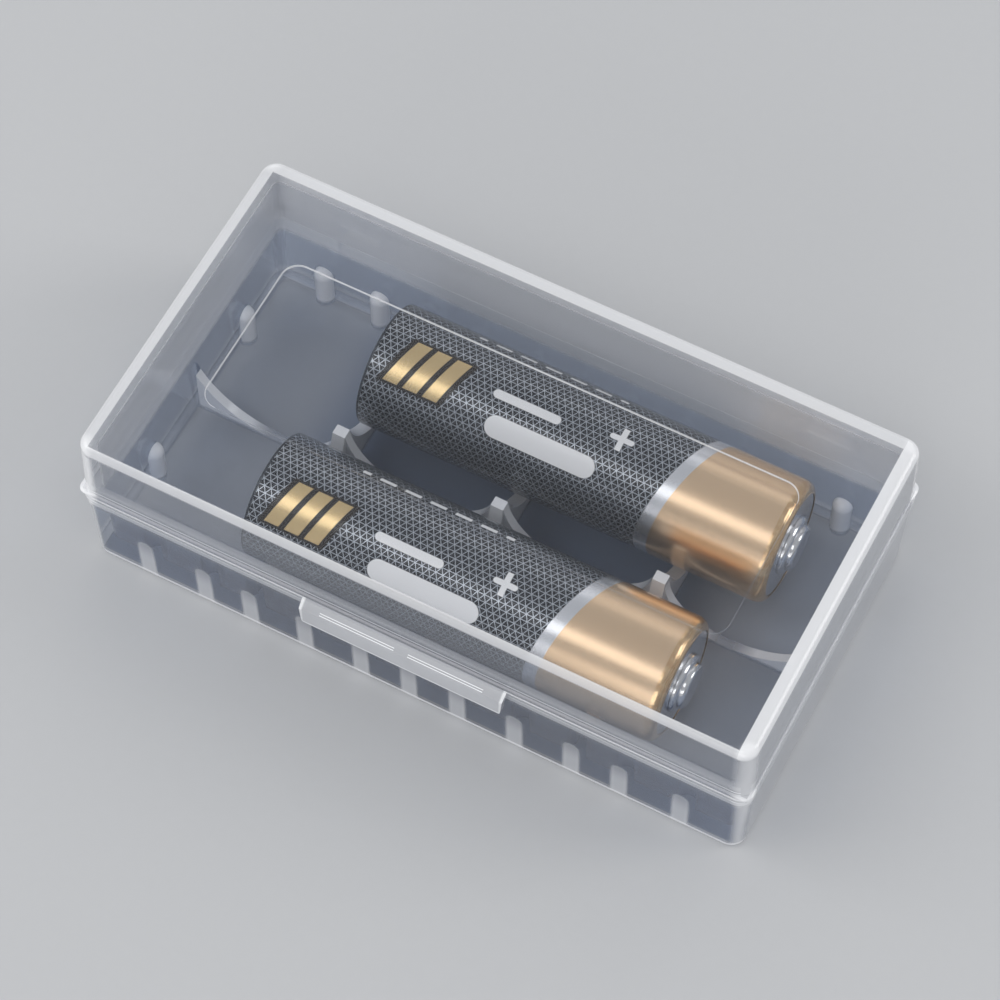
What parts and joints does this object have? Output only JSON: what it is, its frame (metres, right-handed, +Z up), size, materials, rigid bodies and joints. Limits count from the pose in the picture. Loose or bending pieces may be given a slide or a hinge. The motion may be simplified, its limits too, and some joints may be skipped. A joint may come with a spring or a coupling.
{
  "type": "battery storage case",
  "caption": "Clear plastic flip-lid case for cylindrical battery cells, with rear snap hinges, a front latch tab, a ribbed tray with cradle webs, and two AA cells inside.",
  "frame": {"origin": "on the resting plane, under the middle of the box's outline (without hinges and latch tab)", "axes": "+X along the long side towards the cells' positive ends, -Y towards the latch, +Y towards the hinges, +Z up"},
  "size_m": [0.079, 0.0467, 0.0222],
  "materials": {
    "clear_base": "clear moulded plastic, slightly grey and hazy",
    "clear_lid": "clear moulded plastic, glossy with faint scuffs",
    "clear_tab": "clear moulded plastic, thicker and milkier",
    "nickel_steel": "bright nickel-plated steel",
    "printed_label": "glossy printed sleeve, charcoal with a fine silver lattice, silver band and gold end",
    "black_powder": "pressed black powder",
    "paper": "soft paper",
    "grey_gel": "grey gel",
    "brass_wire": "drawn brass",
    "nylon": "moulded nylon",
    "zinc_steel": "zinc-plated steel"
  },
  "bodies": {
    "base": {"base_tray": "clear_base"},
    "lid": {"lid_shell": "clear_lid"},
    "latch": {"latch_tab": "clear_tab"},
    "front_cell": {"front_cell_can": "nickel_steel", "front_cell_label": "printed_label", "front_cell_cathode": "black_powder", "front_cell_separator": "paper", "front_cell_anode": "grey_gel", "front_cell_nail": "brass_wire", "front_cell_seal": "nylon", "front_cell_washer": "zinc_steel", "front_cell_end_cap": "nickel_steel"},
    "back_cell": {"back_cell_can": "nickel_steel", "back_cell_label": "printed_label", "back_cell_cathode": "black_powder", "back_cell_separator": "paper", "back_cell_anode": "grey_gel", "back_cell_nail": "brass_wire", "back_cell_seal": "nylon", "back_cell_washer": "zinc_steel", "back_cell_end_cap": "nickel_steel"}
  },
  "joints": [
    {"name": "lid_hinge", "type": "hinge", "parent": "base", "child": "lid", "pos_m": [0, 0.0228, 0.0124], "axis": [-1, 0, 0], "range_deg": [0, 180]},
    {"name": "latch_flex", "type": "hinge", "parent": "lid", "child": "latch", "pos_m": [0, -0.02114, 0.0132], "axis": [-1, 0, 0], "range_deg": [0, 8], "stiffness_Nm_per_rad": 0.05},
    {"name": "front_cell_slide", "type": "slide", "parent": "base", "child": "front_cell", "axis": [1, 0, 0], "range_m": [-0.01395, 0.0082]},
    {"name": "back_cell_slide", "type": "slide", "parent": "base", "child": "back_cell", "axis": [1, 0, 0], "range_m": [-0.01685, 0.0053]}
  ]
}
